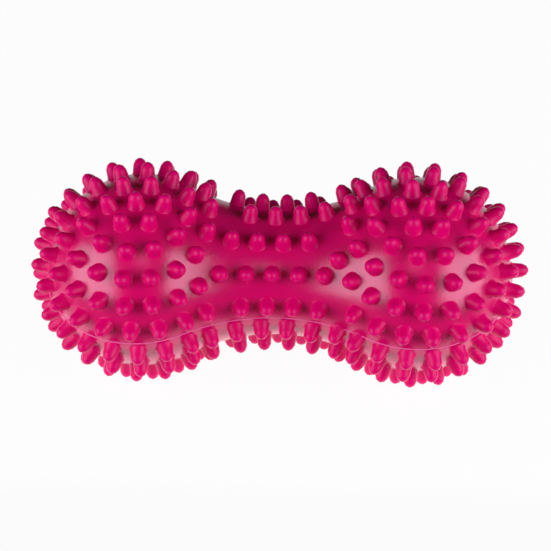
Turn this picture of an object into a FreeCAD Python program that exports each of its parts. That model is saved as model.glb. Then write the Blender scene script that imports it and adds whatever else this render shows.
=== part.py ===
import FreeCAD, Part
import math
import os

# Peanut massage ball: one soft moulded body of two round lobes and a waist, with spikes all over it.
# Built with its long way along X and its parting line level, then rolled to lie on its spikes. Z is up.

# Sizes in millimetres.
LOBE_RADIUS = 31.2
LOBE_SPACING = 87.2
WAIST_RADIUS = 20.1
# A spike is six-sided. Its radii are to its corners, at the skin, at its shoulder and at its tip.
SPIKE_SIDES = 6
SPIKE_HEIGHT = 5.1
SHOULDER_HEIGHT = 3.7
SPIKE_RADII = (2.75, 2.25, 1.05)
# The lobe rings of spikes stop this far from the middle, and the waist rows fill what is left.
JOIN = 19.5
# Least distance between a spike of the waist and one of a lobe, as a share of the pitch.
LEAST_GAP = 0.8

# On a lobe the spikes stand in level rings, evenly spaced, with EQUATOR_COUNT of them round the widest line.
EQUATOR_COUNT = 24
# Latitude in degrees of the first ring above the widest line, and of the first one under it.
FIRST_ABOVE = 15.0
FIRST_BELOW = 2.7
# Where each ring starts, in degrees from the outer end, from the first ring to the single spike of the crown.
RIGHT_ABOVE = (5, 4, 5, 10, 0, 0)
LEFT_ABOVE = (12, 1, 0, -5, 4, 0)
RIGHT_BELOW = (5, 1, 17, 13, 13, 30, 0)
LEFT_BELOW = (3, 15, 17, 14, 31, 30, 0)
# The rings lean to the right a little, in degrees.
RIGHT_LEAN = 4.0
LEFT_LEAN = 2.0

# On the waist they stand in rows along X. The first row above the front line and under it, in degrees, and how far
# each row is shifted along X as a share of the pitch, from the front over the top, and from the front underneath.
WAIST_ABOVE = 20.0
SHIFTS_ABOVE = (0.7, 0.9, 0.3, 0.95, 0.35, 0.7)
WAIST_BELOW = 5.0
SHIFTS_BELOW = (0.45, 0.5, 0.0, 0.5, 0.0, 0.5, 0.0)

HALF = LOBE_SPACING / 2.0
PITCH = 2.0 * math.pi * LOBE_RADIUS / EQUATOR_COUNT
# The waist is a hollow arc that runs into both lobes without a corner.
WAIST_ARC = (HALF ** 2 + WAIST_RADIUS ** 2 - LOBE_RADIUS ** 2) / (2.0 * (LOBE_RADIUS - WAIST_RADIUS))
ARC_CENTRE = WAIST_RADIUS + WAIST_ARC
TANGENT_X = HALF * WAIST_ARC / (LOBE_RADIUS + WAIST_ARC)
STEP_ABOVE = (90.0 - FIRST_ABOVE) / (len(RIGHT_ABOVE) - 1)
STEP_BELOW = (90.0 - FIRST_BELOW) / (len(RIGHT_BELOW) - 1)
# Half a ring step of roll brings the crown spikes and the row in front of them down to one level.
REST_ROLL = STEP_BELOW / 2.0


def foot(x, angle):
    """Foot and direction of a spike at x, at an angle round X from the front, where up is 90 degrees."""
    out = FreeCAD.Vector(0, -math.cos(angle), math.sin(angle))
    along = FreeCAD.Vector(1, 0, 0)
    if abs(x) < TANGENT_X:
        drop = math.sqrt(WAIST_ARC ** 2 - x ** 2)
        return along * x + out * (ARC_CENTRE - drop), (out * drop - along * x) * (1.0 / WAIST_ARC)
    away = x - math.copysign(HALF, x)
    radius = math.sqrt(max(LOBE_RADIUS ** 2 - away ** 2, 0.0))
    return along * x + out * radius, (along * away + out * radius) * (1.0 / LOBE_RADIUS)


def lobe_feet(side, lean, above, below):
    """Feet of the rings on the lobe at the right, side 1, or at the left, side -1."""
    rings = [(FIRST_ABOVE + STEP_ABOVE * k, start) for k, start in enumerate(above)]
    rings += [(-FIRST_BELOW - STEP_BELOW * k, start) for k, start in enumerate(below)]
    lean = math.radians(lean)
    feet = []
    for latitude, start in rings:
        latitude = math.radians(latitude)
        count = max(1, round(EQUATOR_COUNT * math.cos(latitude)))
        for n in range(count):
            turn = math.radians(start) + 2.0 * math.pi * n / count
            flat = side * math.cos(latitude) * math.cos(turn)
            front = math.cos(latitude) * math.sin(turn)
            up = math.sin(latitude) * math.cos(lean) - flat * math.sin(lean)
            x = side * HALF + LOBE_RADIUS * (flat * math.cos(lean) + math.sin(latitude) * math.sin(lean))
            if x * side > JOIN:
                feet.append(foot(x, math.atan2(up, front)))
    return feet


def waist_feet(taken):
    """Feet of the waist rows, as far as those already taken leave room."""
    feet = []
    for first, shifts in ((WAIST_ABOVE, SHIFTS_ABOVE), (-WAIST_BELOW, SHIFTS_BELOW)):
        step = math.copysign(180.0 - 2.0 * abs(first), first) / (len(shifts) - 1)
        reach = math.ceil(TANGENT_X / PITCH)
        for row, shift in enumerate(shifts):
            for n in range(-reach, reach + 1):
                x = WAIST_ARC * math.sin((n + shift) * PITCH / WAIST_ARC)
                if abs(x) < TANGENT_X:
                    place, way = foot(x, math.radians(first + step * row))
                    if min(place.distanceToPoint(other) for other, _ in taken) > LEAST_GAP * PITCH:
                        feet.append((place, way))
    return feet


def spike_levels(place, way):
    """Corners of a spike at the skin, the shoulder and the tip, each a ring seen from outside."""
    side = FreeCAD.Vector(0, 0, 1).cross(way)
    side = side.normalize() if side.Length > 0.01 else FreeCAD.Vector(0, 1, 0)
    up = way.cross(side)
    # The corners at the skin lie on it, so their plane is a little under the foot.
    heights = (-SPIKE_RADII[0] ** 2 / (2.0 * LOBE_RADIUS), SHOULDER_HEIGHT, SPIKE_HEIGHT)
    levels = []
    for height, radius in zip(heights, SPIKE_RADII):
        ring = []
        for n in range(SPIKE_SIDES):
            turn = 2.0 * math.pi * n / SPIKE_SIDES
            ring.append(place + way * height + (side * math.cos(turn) + up * math.sin(turn)) * radius)
        levels.append(ring)
    return levels


def on_ball(point):
    """Map a point of the skin to a ball of radius 1, so that small circles stay round."""
    x = min(abs(point.x), HALF + 0.9999 * LOBE_RADIUS)
    tilt = math.asin(min(x, TANGENT_X) / WAIST_ARC)
    spread = math.sqrt(ARC_CENTRE ** 2 - WAIST_ARC ** 2)
    run = math.atan((ARC_CENTRE + WAIST_ARC) / spread * math.tan(tilt / 2.0)) * 2.0 * WAIST_ARC / spread
    if x > TANGENT_X:
        run += math.atanh((x - HALF) / LOBE_RADIUS) - math.atanh((TANGENT_X - HALF) / LOBE_RADIUS)
    angle = math.atan2(point.z, point.y)
    flat = 1.0 / math.cosh(run)
    return math.copysign(math.tanh(run), point.x), flat * math.cos(angle), flat * math.sin(angle)


def above_plane(corners, point):
    """How far a point is outside the plane of three corners, as a volume."""
    a, b, c = corners
    ux, uy, uz = b[0] - a[0], b[1] - a[1], b[2] - a[2]
    vx, vy, vz = c[0] - a[0], c[1] - a[1], c[2] - a[2]
    wx, wy, wz = point[0] - a[0], point[1] - a[1], point[2] - a[2]
    return (uy * vz - uz * vy) * wx + (uz * vx - ux * vz) * wy + (ux * vy - uy * vx) * wz


def triangles_round(points):
    """Triangles of the hull of points on a ball, each seen from outside, added one point at a time."""
    first = [0, len(points) // 3, len(points) // 2, len(points) - 1]
    if above_plane([points[i] for i in first[:3]], points[first[3]]) > 0:
        first[0], first[1] = first[1], first[0]
    a, b, c, d = first
    hull = {(a, b, c), (a, c, d), (a, d, b), (b, d, c)}
    for new, point in enumerate(points):
        if new in first:
            continue
        seen = [t for t in hull if above_plane([points[i] for i in t], point) > 0]
        edges = {(t[i], t[(i + 1) % 3]) for t in seen for i in range(3)}
        hull.difference_update(seen)
        hull.update((i, j, new) for i, j in edges if (j, i) not in edges)
    return hull


def flat_face(corners):
    return Part.Face(Part.makePolygon(list(corners) + [corners[0]]))


os.makedirs("parts", exist_ok=True)

feet = lobe_feet(1, RIGHT_LEAN, RIGHT_ABOVE, RIGHT_BELOW) + lobe_feet(-1, LEFT_LEAN, LEFT_ABOVE, LEFT_BELOW)
feet += waist_feet(feet)
faces = []
skin = []
for place, way in feet:
    levels = spike_levels(place, way)
    for low, high in zip(levels, levels[1:]):
        for n in range(SPIKE_SIDES):
            m = (n + 1) % SPIKE_SIDES
            faces.append(flat_face([low[n], low[m], high[m], high[n]]))
    faces.append(flat_face(levels[-1]))
    skin += levels[0] + [place]

# The skin between the spikes is small flat facets. Those that end at a spike's middle would lie inside it.
whole = SPIKE_SIDES + 1
for corners in triangles_round([on_ball(point) for point in skin]):
    if all(i % whole != SPIKE_SIDES for i in corners):
        faces.append(flat_face([skin[i] for i in corners]))

shell = Part.makeShell(faces)
shell.sewShape()
ball = Part.makeSolid(shell)
if ball.Volume < 0:
    ball.reverse()
ball.rotate(FreeCAD.Vector(0, 0, 0), FreeCAD.Vector(1, 0, 0), REST_ROLL)
box = ball.BoundBox
ball.translate(FreeCAD.Vector(-box.Center.x, -box.Center.y, -box.ZMin))
ball.exportStep("parts/peanut_ball.step")
print("spikes", len(feet), "faces", len(ball.Faces), "volume", ball.Volume, "closed", shell.isClosed(), ball.isValid())
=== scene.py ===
# %% [markdown]
# # Peanut massage ball
# A massage ball of soft vinyl: two round lobes, a slimmer waist between them, and short spikes all over.
# The CAD model gives its size and its place. Here it gets its round spikes, its parting line and its gloss.
# Everything is in metres, in the CAD model's frame: X is the long way, Z is up, and the front faces -Y.

# %% Load the CAD model
import math

import bpy
from mathutils import Matrix, Vector


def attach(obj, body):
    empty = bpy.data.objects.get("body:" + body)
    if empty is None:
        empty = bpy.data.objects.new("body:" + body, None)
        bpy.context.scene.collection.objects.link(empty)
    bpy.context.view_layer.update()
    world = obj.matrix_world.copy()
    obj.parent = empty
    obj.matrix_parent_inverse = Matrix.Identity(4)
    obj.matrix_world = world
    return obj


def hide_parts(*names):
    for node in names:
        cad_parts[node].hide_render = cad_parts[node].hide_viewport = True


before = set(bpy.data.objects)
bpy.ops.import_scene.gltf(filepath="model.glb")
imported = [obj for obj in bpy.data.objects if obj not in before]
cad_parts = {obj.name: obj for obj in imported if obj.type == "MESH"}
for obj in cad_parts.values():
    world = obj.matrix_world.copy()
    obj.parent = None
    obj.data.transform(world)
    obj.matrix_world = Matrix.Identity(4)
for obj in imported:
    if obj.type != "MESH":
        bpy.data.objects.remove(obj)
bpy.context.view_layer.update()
MM = 0.001

# %% [markdown]
# ## The sizes
# The CAD source and this script share these sizes. The lobes are balls, and the waist is a hollow arc that
# runs into both without a corner, so two radii and one distance give the whole outline.

# %% Sizes in millimetres
LOBE_RADIUS = 31.2
LOBE_SPACING = 87.2
WAIST_RADIUS = 20.1
HALF = LOBE_SPACING / 2.0
WAIST_ARC = (HALF**2 + WAIST_RADIUS**2 - LOBE_RADIUS**2) / (2.0 * (LOBE_RADIUS - WAIST_RADIUS))
ARC_CENTRE = WAIST_RADIUS + WAIST_ARC
TANGENT_X = HALF * WAIST_ARC / (LOBE_RADIUS + WAIST_ARC)
print("The waist's arc has a radius of", round(WAIST_ARC, 1), "mm, and ends at X", round(TANGENT_X, 1), "mm")

# %% [markdown]
# ## The skin
# The real skin is one smooth moulded surface. It could be two balls and a tube under a Remesh modifier, but
# a turned profile is exact and has even faces: a single vertex is extruded along the outline, and Spin
# turns it round the long axis. The doubles at the poles and along the start are merged, and the normals
# point outwards.

# %% The outline of the skin
PROFILE_STEP = math.radians(2.5)


def outline():
    """Points of the outline from the right end to the left end, in millimetres."""
    lobe_turn = math.acos((TANGENT_X - HALF) / LOBE_RADIUS)
    count = round(lobe_turn / PROFILE_STEP)
    lobe = [lobe_turn * n / count for n in range(count + 1)]
    right = [Vector((HALF + LOBE_RADIUS * math.cos(a), 0, LOBE_RADIUS * math.sin(a))) for a in lobe]
    waist_turn = math.asin(TANGENT_X / WAIST_ARC)
    count = round(waist_turn / PROFILE_STEP) * 2
    waist = [waist_turn * (1 - 2 * n / count) for n in range(1, count)]
    middle = [Vector((WAIST_ARC * math.sin(a), 0, ARC_CENTRE - WAIST_ARC * math.cos(a))) for a in waist]
    left = [Vector((-p.x, 0, p.z)) for p in reversed(right)]
    return right + middle + left


points = outline()
print("The outline has", len(points), "points")

# %% Start and finish a mesh
# Vertices nearer than this are one, in millimetres.
MERGE = 0.01


def deselect_all():
    if bpy.context.mode != "OBJECT":
        bpy.ops.object.mode_set(mode="OBJECT")
    bpy.ops.object.select_all(action="DESELECT")


def one_vertex(name, place):
    """Start a piece from a small plane that is merged to one vertex at a place in millimetres."""
    deselect_all()
    bpy.ops.mesh.primitive_plane_add(size=MM, location=place * MM)
    piece = bpy.context.object
    piece.name = piece.data.name = name
    bpy.ops.object.transform_apply(location=True, rotation=True, scale=True)
    bpy.ops.object.mode_set(mode="EDIT")
    bpy.ops.mesh.merge(type="CENTER")
    return piece


def finish_mesh():
    """Merge the doubles, turn the normals outwards, shade smooth, and leave edit mode."""
    bpy.ops.mesh.select_all(action="SELECT")
    bpy.ops.mesh.remove_doubles(threshold=MERGE * MM)
    bpy.ops.mesh.normals_make_consistent(inside=False)
    bpy.ops.mesh.faces_shade_smooth()
    bpy.ops.object.mode_set(mode="OBJECT")


print("Vertices nearer than", MERGE, "mm are merged")

# %% Turn the skin
SKIN_STEPS = 144
skin = one_vertex("skin", points[0])
for before, after in zip(points, points[1:]):
    bpy.ops.mesh.extrude_region_move(TRANSFORM_OT_translate={"value": (after - before) * MM})
bpy.ops.mesh.select_all(action="SELECT")
bpy.ops.mesh.spin(steps=SKIN_STEPS, angle=2 * math.pi, center=(0, 0, 0), axis=(1, 0, 0))
finish_mesh()
print("The skin has", len(skin.data.polygons), "faces")

# %% [markdown]
# ## Where a spike stands
# Every spike stands on the skin and points straight out of it. Its place along X and its angle round X say
# where. On a lobe it points away from the lobe's middle, and on the waist away from the centre of the arc.

# %% Foot of one spike


def foot(x, angle):
    """Foot and direction of a spike at x, at an angle round X from the front, where up is a quarter turn."""
    out = Vector((0, -math.cos(angle), math.sin(angle)))
    along = Vector((1, 0, 0))
    if abs(x) < TANGENT_X:
        drop = math.sqrt(WAIST_ARC**2 - x**2)
        return along * x + out * (ARC_CENTRE - drop), (out * drop - along * x) / WAIST_ARC
    away = x - math.copysign(HALF, x)
    radius = math.sqrt(max(LOBE_RADIUS**2 - away**2, 0.0))
    return along * x + out * radius, (along * away + out * radius) / LOBE_RADIUS


print("On top of the waist a spike stands", round(foot(0.0, math.pi / 2.0)[0].z, 1), "mm over the axis")

# %% [markdown]
# ## Rings on the lobes
# On each lobe the spikes stand in level rings, like the parallels on a globe, as many in each as fit at an
# even spacing. Under the parting line the rings are a little closer, and the rings of each lobe lean a
# little to the right. The rules and their values are those of the CAD source.

# %% Feet on the lobes
EQUATOR_COUNT = 24
# The rings stop this far from the middle, in millimetres.
JOIN = 19.5
# Latitudes in degrees of the first ring over the widest line and of the first one under it.
FIRST_ABOVE = 15.0
FIRST_BELOW = 2.7
# Where each ring starts, in degrees from the outer end, from the first ring to the single spike of the crown.
RIGHT_ABOVE = (5, 4, 5, 10, 0, 0)
LEFT_ABOVE = (12, 1, 0, -5, 4, 0)
RIGHT_BELOW = (5, 1, 17, 13, 13, 30, 0)
LEFT_BELOW = (3, 15, 17, 14, 31, 30, 0)
# How far the rings lean, in degrees.
RIGHT_LEAN = 4.0
LEFT_LEAN = 2.0
STEP_ABOVE = (90.0 - FIRST_ABOVE) / (len(RIGHT_ABOVE) - 1)
STEP_BELOW = (90.0 - FIRST_BELOW) / (len(RIGHT_BELOW) - 1)


def lobe_feet(side, lean, above, below):
    """Feet on the lobe at the right, side 1, or at the left, side -1."""
    rings = [(FIRST_ABOVE + STEP_ABOVE * k, start) for k, start in enumerate(above)]
    rings += [(-FIRST_BELOW - STEP_BELOW * k, start) for k, start in enumerate(below)]
    lean = math.radians(lean)
    feet = []
    for latitude, start in rings:
        latitude = math.radians(latitude)
        count = max(1, round(EQUATOR_COUNT * math.cos(latitude)))
        for n in range(count):
            turn = math.radians(start) + 2.0 * math.pi * n / count
            flat = side * math.cos(latitude) * math.cos(turn)
            front = math.cos(latitude) * math.sin(turn)
            up = math.sin(latitude) * math.cos(lean) - flat * math.sin(lean)
            x = side * HALF + LOBE_RADIUS * (flat * math.cos(lean) + math.sin(latitude) * math.sin(lean))
            if x * side > JOIN:
                feet.append(foot(x, math.atan2(up, front)))
    return feet


feet = {
    "right": lobe_feet(1, RIGHT_LEAN, RIGHT_ABOVE, RIGHT_BELOW),
    "left": lobe_feet(-1, LEFT_LEAN, LEFT_ABOVE, LEFT_BELOW),
}
print("Spikes on the lobes:", {part: len(places) for part, places in feet.items()})

# %% [markdown]
# ## Rows on the waist
# On the waist the spikes stand in rows along X, with the same pitch as on a lobe's widest line. Each row is
# shifted by its own share of the pitch, and leaves out a spike that would come too near to one of a lobe.

# %% Feet on the waist
PITCH = 2.0 * math.pi * LOBE_RADIUS / EQUATOR_COUNT
# Least distance to a spike of a lobe, as a share of the pitch.
LEAST_GAP = 0.8
# Angle in degrees of the first row over the front line and of the first one under it, and the shifts of the
# rows from the front over the top, and from the front underneath.
WAIST_ABOVE = 20.0
SHIFTS_ABOVE = (0.7, 0.9, 0.3, 0.95, 0.35, 0.7)
WAIST_BELOW = 5.0
SHIFTS_BELOW = (0.45, 0.5, 0.0, 0.5, 0.0, 0.5, 0.0)


def waist_feet(taken):
    """Feet of the waist's rows, as far as those already taken leave room."""
    feet = []
    for first, shifts in ((WAIST_ABOVE, SHIFTS_ABOVE), (-WAIST_BELOW, SHIFTS_BELOW)):
        step = math.copysign(180.0 - 2.0 * abs(first), first) / (len(shifts) - 1)
        reach = math.ceil(TANGENT_X / PITCH)
        for row, shift in enumerate(shifts):
            for n in range(-reach, reach + 1):
                x = WAIST_ARC * math.sin((n + shift) * PITCH / WAIST_ARC)
                if abs(x) < TANGENT_X:
                    place, way = foot(x, math.radians(first + step * row))
                    if min((place - other).length for other, _ in taken) > LEAST_GAP * PITCH:
                        feet.append((place, way))
    return feet


feet["waist"] = waist_feet(feet["right"] + feet["left"])
print("Spikes on the waist:", len(feet["waist"]))

# %% [markdown]
# ## One spike
# A real spike is a slim cone with a round tip, and it flows into the skin with a small hollow fillet. A
# cone primitive has neither, so one open ring of twelve vertices is extruded upwards, ring by ring, and
# scaled at each level. Twelve sides and smooth shading look round at this size, and they keep hundreds of
# spikes light.

# %% Model one spike
SPIKE_SIDES = 12
# Height and radius of each ring, from the foot on the skin to the tip.
SPIKE_RINGS = ((-0.14, 2.95), (0.2, 2.52), (3.2, 2.16), (4.5, 1.45), (5.1, 0.45))


def model_spike():
    deselect_all()
    height, radius = SPIKE_RINGS[0]
    bpy.ops.mesh.primitive_circle_add(vertices=SPIKE_SIDES, radius=radius * MM, location=(0, 0, height * MM))
    piece = bpy.context.object
    bpy.ops.object.transform_apply(location=True, rotation=True, scale=True)
    bpy.ops.object.mode_set(mode="EDIT")
    bpy.ops.mesh.select_all(action="SELECT")
    for (low, wide), (high, slim) in zip(SPIKE_RINGS, SPIKE_RINGS[1:]):
        bpy.ops.mesh.extrude_edges_move(TRANSFORM_OT_translate={"value": (0, 0, (high - low) * MM)})
        share = slim / wide
        bpy.ops.transform.resize(value=(share, share, 1), center_override=(0, 0, 0))
    bpy.ops.mesh.edge_face_add()
    finish_mesh()
    return piece


spike = model_spike()
print("One spike has", len(spike.data.polygons), "faces")

# %% [markdown]
# ## All the spikes
# Each copy is turned from upright to its own direction and set on its foot, and the copies of one part of
# the ball are joined. The open ring at each foot is then laid on the skin by a Shrinkwrap modifier, which
# only moves the vertices of a group. So the foot follows the round lobe and the saddle of the waist alike.

# %% Copy the spike to every foot
# How far the foot ring lies over the skin, in millimetres.
FOOT_OVER_SKIN = 0.01


def copy_spikes(name, places):
    deselect_all()
    copies = []
    for place, way in places:
        copy = spike.copy()
        copy.data = spike.data.copy()
        bpy.context.collection.objects.link(copy)
        copy.data.transform(Matrix.Translation(place * MM) @ way.to_track_quat("Z", "Y").to_matrix().to_4x4())
        copies.append(copy)
        copy.select_set(True)
    bpy.context.view_layer.objects.active = copies[0]
    bpy.ops.object.join()
    piece = bpy.context.object
    piece.name = piece.data.name = name
    return piece


def lay_feet_on_skin(piece, count):
    """Lay the first ring of each copy on the skin. The faces on that ring are the fillet."""
    per_spike = len(spike.data.vertices)
    group = piece.vertex_groups.new(name="feet")
    group.add([n * per_spike + k for n in range(count) for k in range(SPIKE_SIDES)], 1.0, "REPLACE")
    # The fillet is as polished as the mould's wall, so it gets the second material, which is the skin's.
    for face in piece.data.polygons:
        face.material_index = int(min(v % per_spike for v in face.vertices) < SPIKE_SIDES)
    wrap = piece.modifiers.new("lay feet", "SHRINKWRAP")
    wrap.target = skin
    wrap.wrap_method = "NEAREST_SURFACEPOINT"
    wrap.wrap_mode = "ABOVE_SURFACE"
    wrap.offset = FOOT_OVER_SKIN * MM
    wrap.vertex_group = group.name
    bpy.ops.object.modifier_apply(modifier=wrap.name)
    piece.vertex_groups.clear()


spikes = []
for part, places in feet.items():
    piece = copy_spikes("spikes_" + part, places)
    lay_feet_on_skin(piece, len(places))
    spikes.append(piece)
    print(piece.name, "has", len(places), "spikes and", len(piece.data.polygons), "faces")
bpy.data.objects.remove(spike)

# %% [markdown]
# ## The parting line
# Where the two halves of the mould met, a thin raised bead runs round the ball, just over the widest ring
# of spikes. It lies in one level plane, so a copy of the skin is cut there with Bisect, only the cut is
# kept, and it becomes a curve with a round bevel, which is sunk by half into the skin.

# %% Cut the parting line out of the skin
# Height over the widest line and radius of the bead, in millimetres.
BEAD_LEVEL = 1.9
BEAD_RADIUS = 0.2


def parting_bead():
    deselect_all()
    bead = skin.copy()
    bead.data = skin.data.copy()
    bpy.context.collection.objects.link(bead)
    bead.name = bead.data.name = "parting_bead"
    bead.select_set(True)
    bpy.context.view_layer.objects.active = bead
    bpy.ops.object.mode_set(mode="EDIT")
    bpy.ops.mesh.select_all(action="SELECT")
    level = (0, 0, BEAD_LEVEL * MM)
    bpy.ops.mesh.bisect(plane_co=level, plane_no=(0, 0, 1), clear_inner=True, clear_outer=True)
    bpy.ops.object.mode_set(mode="OBJECT")
    bpy.ops.object.convert(target="CURVE")
    bead = bpy.context.object
    bead.data.bevel_depth = BEAD_RADIUS * MM
    bead.data.bevel_resolution = 2
    bpy.ops.object.convert(target="MESH")
    bead = bpy.context.object
    bpy.ops.object.mode_set(mode="EDIT")
    finish_mesh()
    return bead


bead = parting_bead()
pieces = [skin, bead] + spikes
print("The parting bead has", len(bead.data.polygons), "faces")

# %% [markdown]
# ## Helpers for the materials
# A colour is written as an sRGB hex value, as a colour picker shows it, but a shader socket wants linear
# values. A material is a small tree of nodes, and one helper adds any node with its settings, its values
# and its links.

# %% Colours and nodes


def linear(hex_colour):
    """An sRGB hex colour as the linear RGBA that a shader socket wants."""
    parts = [int(hex_colour[i : i + 2], 16) / 255.0 for i in (1, 3, 5)]
    return [p / 12.92 if p <= 0.04045 else ((p + 0.055) / 1.055) ** 2.4 for p in parts] + [1.0]


def add_node(tree, kind, settings=None, links=None, **values):
    """Add a node, set its properties and its sockets by name, and link sockets from (node, output) pairs."""
    node = tree.nodes.new(kind)
    for name, value in (settings or {}).items():
        setattr(node, name, value)
    for name, value in values.items():
        node.inputs[name.replace("_", " ")].default_value = value
    for name, (source, output) in (links or {}).items():
        tree.links.new(source.outputs[output], node.inputs[name])
    return node


def new_material(name):
    material = bpy.data.materials.new(name)
    material.use_nodes = True
    material.node_tree.nodes.clear()
    return material, material.node_tree


VINYL_COLOUR = "#CC005A"
print("The vinyl is", VINYL_COLOUR, "and linear", [round(v, 3) for v in linear(VINYL_COLOUR)[:3]])

# %% [markdown]
# ## Soft vinyl
# The ball is plasticised vinyl, coloured through, with a refractive index of about 1.53. The skin comes
# from the polished wall of the mould and shines. The spikes come from holes drilled in it and are duller.
# Light passes through the thin spikes and the trimmed flash, so their colours are painted a little lighter
# than the skin's, as painted light. A fine grain softens the shine.

# %% Material of the ball
# Painted light: the spikes are the skin's vinyl, painted a little lighter for the light that passes through
# them.
SPIKE_COLOUR_PAINTED_GLOW = "#D80062"
# Painted light: the flash is painted lighter still, for the light that the thin fin lets through and catches.
FLASH_COLOUR_PAINTED_LIGHT = "#E8689C"
VINYL_IOR = 1.53
# The real grain is about 0.1 mm wide. It is drawn coarser, in millimetres, so that it shows in the render.
GRAIN_SIZE = 0.5
GRAIN_DEPTH = 0.05


def vinyl(name, colour, roughness, shine):
    """Vinyl with the fine grain of a moulded surface. Shine 0.5 is the reflection that its index gives."""
    material, tree = new_material(name)
    place = add_node(tree, "ShaderNodeTexCoord")
    grain = add_node(
        tree,
        "ShaderNodeTexNoise",
        links={"Vector": (place, "Object")},
        Scale=1.0 / (GRAIN_SIZE * MM),
        Detail=1.0,
    )
    bump = add_node(tree, "ShaderNodeBump", links={"Height": (grain, "Fac")}, Distance=GRAIN_DEPTH * MM)
    shader = add_node(
        tree,
        "ShaderNodeBsdfPrincipled",
        Base_Color=linear(colour),
        Roughness=roughness,
        IOR=VINYL_IOR,
        Specular_IOR_Level=shine,
        links={"Normal": (bump, "Normal")},
    )
    add_node(tree, "ShaderNodeOutputMaterial", links={"Surface": (shader, "BSDF")})
    return material


glossy = vinyl("soft vinyl from a polished mould", VINYL_COLOUR, roughness=0.22, shine=0.52)
# The spikes' material carries that painted glow in its colour, and a duller finish.
satin_with_painted_glow = vinyl("soft vinyl from drilled mould holes with painted glow", SPIKE_COLOUR_PAINTED_GLOW, roughness=0.3, shine=0.14)
# The flash's material carries that painted light in its colour.
trimmed = vinyl("trimmed vinyl flash with painted light", FLASH_COLOUR_PAINTED_LIGHT, roughness=0.5, shine=0.3)
finishes = {skin: [glossy], bead: [trimmed]}
for piece in pieces:
    piece.data.materials.clear()
    for finish in finishes.get(piece, [satin_with_painted_glow, glossy]):
        piece.data.materials.append(finish)
print("Finishes:", {piece.name: [finish.name for finish in piece.data.materials] for piece in pieces})

# %% [markdown]
# ## How the ball lies
# The parting line was level in the mould. On a table the ball rolls a little to the front, until it lies on
# two spikes under each lobe. One matrix turns and lifts the pieces from the mould's frame to the table.
# Their meshes are moved, not their objects, so that every object stays at the origin. Together they stand
# for the one CAD solid.

# %% Lay the pieces on the table
# Half a ring step of roll brings the crown spike and the one in front of it down to one level.
REST_ROLL = STEP_BELOW / 2.0
# The middle of the ball's axis as it lies, in millimetres.
AXIS_PLACE = Vector((0.12, -0.07, 36.12))
lie = Matrix.Translation(AXIS_PLACE * MM) @ Matrix.Rotation(math.radians(REST_ROLL), 4, "X")
for piece in pieces:
    piece.data.transform(lie)
    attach(piece, "root")
    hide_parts("peanut_ball")
print("Rolled", round(REST_ROLL, 2), "degrees to the front:", [piece.name for piece in pieces])

# %% [markdown]
# ## Floor
# A wide paper floor, pale under and behind the ball and grey in front of it, so that the shine on the
# ball's underside stays low. The camera sees all of it white by Light Path, and a small share of its own
# shading is kept. In the ball's reflections the pale part is whiter than it is lit, which makes the shine
# along the top rims pale, as over a white table.

# %% Paper
# The pale paper ends here, in metres from the middle, and blends into the grey over this width.
PAPER_FRONT = -0.055
PAPER_BLEND = 0.01
PALE_PAPER = "#EEEEEE"
GREY_PAPER = "#606060"
WHITE = "#FFFFFF"
# Share of plain white in what the camera sees, and in what the reflections see of the pale part.
WHITE_SHARE = 0.96
MIRRORED_SHARE = 0.6
white, tree = new_material("matt white paper")
place = add_node(tree, "ShaderNodeTexCoord")
split = add_node(tree, "ShaderNodeSeparateXYZ", links={"Vector": (place, "Object")})
edge = add_node(
    tree,
    "ShaderNodeMapRange",
    links={"Value": (split, "Y")},
    From_Min=PAPER_FRONT - PAPER_BLEND,
    From_Max=PAPER_FRONT,
)
# A Mix node has sockets of one name for numbers and for colours. Its colours are 6 and 7, and leave at 2.
tone = add_node(tree, "ShaderNodeMix", {"data_type": "RGBA"}, {0: (edge, 0)})
tone.inputs[6].default_value = linear(GREY_PAPER)
tone.inputs[7].default_value = linear(PALE_PAPER)
paper = add_node(tree, "ShaderNodeBsdfDiffuse", links={"Color": (tone, 2)})
glow = add_node(tree, "ShaderNodeEmission", Color=linear(WHITE), Strength=1.0)
rays = add_node(tree, "ShaderNodeLightPath")
share = add_node(tree, "ShaderNodeMath", {"operation": "MULTIPLY"}, {0: (rays, "Is Camera Ray")})
share.inputs[1].default_value = WHITE_SHARE
behind = add_node(
    tree,
    "ShaderNodeMath",
    {"operation": "MULTIPLY"},
    {0: (rays, "Is Glossy Ray"), 1: (edge, 0)},
)
seen = add_node(tree, "ShaderNodeMath", {"operation": "MULTIPLY_ADD"}, {0: (behind, 0), 2: (share, 0)})
seen.inputs[1].default_value = MIRRORED_SHARE
mixed = add_node(
    tree,
    "ShaderNodeMixShader",
    links={0: (seen, 0), 1: (paper, "BSDF"), 2: (glow, "Emission")},
)
add_node(tree, "ShaderNodeOutputMaterial", links={"Surface": (mixed, "Shader")})
print("The paper has", len(tree.nodes), "nodes")

# %% Lay the floor
FLOOR_SIZE = 6.0
deselect_all()
bpy.ops.mesh.primitive_plane_add(size=FLOOR_SIZE, location=(0, 0, 0))
floor = bpy.context.object
floor.name = "floor"
floor.data.materials.append(white)
print("The floor is", FLOOR_SIZE, "m wide")

# %% [markdown]
# ## Camera
# The ball is seen from the front and well above, with a long lens, its right end a little nearer.

# %% Camera
# Direction in degrees, place from the ball's middle in millimetres, and lens and film width in millimetres.
CAMERA_AZIMUTH = 3.9
CAMERA_ELEVATION = 43.36
CAMERA_ROLL = -1.68
CAMERA_PLACE = Vector((18.23, -279.62, 263.13))
LENS = 77.55
FILM_WIDTH = 36.0
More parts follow.
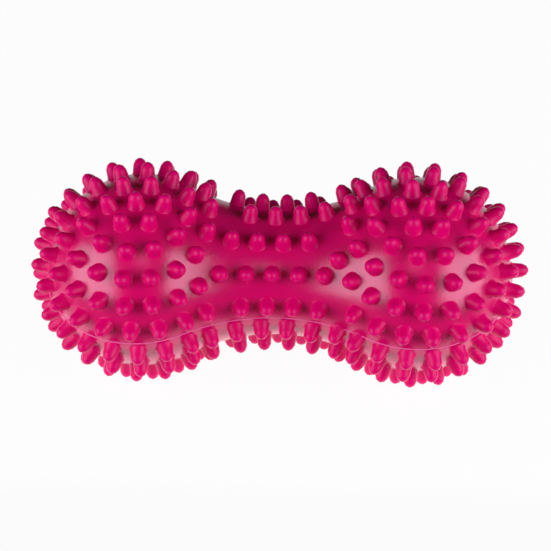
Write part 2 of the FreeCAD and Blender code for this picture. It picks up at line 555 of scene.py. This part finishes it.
# Nothing nearer than this is drawn, in metres.
CLIP_START = 0.01
camera_data = bpy.data.cameras.new("camera")
camera_data.lens = LENS
camera_data.sensor_width = FILM_WIDTH
camera_data.clip_start = CLIP_START
camera = bpy.data.objects.new("camera", camera_data)
bpy.context.collection.objects.link(camera)
camera.location = (AXIS_PLACE + CAMERA_PLACE) * MM
turn = Matrix.Rotation(math.radians(CAMERA_AZIMUTH), 4, "Z")
tilt = Matrix.Rotation(math.radians(90.0 - CAMERA_ELEVATION), 4, "X")
roll = Matrix.Rotation(math.radians(CAMERA_ROLL), 4, "Z")
camera.rotation_euler = (turn @ tilt @ roll).to_euler()
bpy.context.scene.camera = camera
# The lamps are aimed from the camera, so its matrix has to be up to date.
bpy.context.view_layer.update()
print("The camera is", round(CAMERA_PLACE.length), "mm from the ball's middle")

# %% [markdown]
# ## Softboxes
# Two large softboxes stand left and right of the camera and give the two bands of shine on each lobe, and
# the dark gap between them keeps the colour deep. A small card over the camera puts a soft spot on each
# tip. Each is placed by its turn round the camera's upright axis and its rise over the camera. A lamp's
# power is worked out from its area and its radiance, and radiance 1 looks white.

# %% Softboxes
DAYLIGHT = "#EDEDFF"
# Distance from the ball in metres, as are the widths and heights of the lamps.
DISTANCE = 0.6


def area_light(name, colour, wide, high, radiance):
    light = bpy.data.lights.new(name, "AREA")
    light.shape = "RECTANGLE"
    light.size, light.size_y = wide, high
    light.energy = radiance * math.pi * wide * high
    light.color = linear(colour)[:3]
    lamp = bpy.data.objects.new(name, light)
    bpy.context.collection.objects.link(lamp)
    return lamp


def softbox(name, turn, rise, wide, high, radiance):
    """A lamp aimed at the ball, turned right and raised from the camera's direction, in degrees."""
    aim = camera.matrix_world.to_3x3().to_4x4()
    aim = aim @ Matrix.Rotation(math.radians(turn), 4, "Y") @ Matrix.Rotation(math.radians(-rise), 4, "X")
    away = aim.to_3x3() @ Vector((0, 0, DISTANCE))
    lamp = area_light(name, DAYLIGHT, wide, high, radiance)
    lamp.matrix_world = Matrix.Translation(AXIS_PLACE * MM + away) @ aim
    print(name, "is at", [round(v, 2) for v in lamp.matrix_world.translation], "m")


softbox("left softbox", turn=-58, rise=-5, wide=0.56, high=0.57, radiance=5.0)
softbox("right softbox", turn=56, rise=-5, wide=0.58, high=0.57, radiance=4.9)
softbox("front card", turn=0, rise=10, wide=0.14, high=0.14, radiance=1.5)

# %% [markdown]
# ## Light table
# The ball lies on a light table, whose glow fills the underside and shines on the skin under the parting
# line. It could be a glowing patch of the floor, but a lamp that faces up gives less noise. The camera
# doesn't see it.

# %% Light table
TABLE_WIDTH = 0.22
TABLE_DEPTH = 0.14
TABLE_RADIANCE = 0.6
# The lamp lies this far over the floor, in metres.
TABLE_LEVEL = 0.0005
table = area_light("light table", WHITE, TABLE_WIDTH, TABLE_DEPTH, TABLE_RADIANCE)
table.location = (0, PAPER_FRONT + TABLE_DEPTH / 2, TABLE_LEVEL)
table.rotation_euler = (math.pi, 0, 0)
table.visible_camera = False
print("The light table has", round(table.data.energy, 3), "W")

# %% [markdown]
# ## The room
# The camera sees a white room, but as a lamp the room is nearly dark, so that the softboxes alone shape the
# ball and its colour stays deep. Light Path tells the two apart. The Standard view shows colours as they
# are written.

# %% World
ROOM_LEVEL = 0.03
world = bpy.data.worlds.new("white studio")
bpy.context.scene.world = world
world.use_nodes = True
tree = world.node_tree
tree.nodes.clear()
rays = add_node(tree, "ShaderNodeLightPath")
dim = add_node(tree, "ShaderNodeBackground", Color=linear(WHITE), Strength=ROOM_LEVEL)
bright = add_node(tree, "ShaderNodeBackground", Color=linear(WHITE), Strength=1.0)
mixed = add_node(
    tree,
    "ShaderNodeMixShader",
    links={0: (rays, "Is Camera Ray"), 1: (dim, "Background"), 2: (bright, "Background")},
)
add_node(tree, "ShaderNodeOutputWorld", links={"Surface": (mixed, "Shader")})
bpy.context.scene.view_settings.view_transform = "Standard"
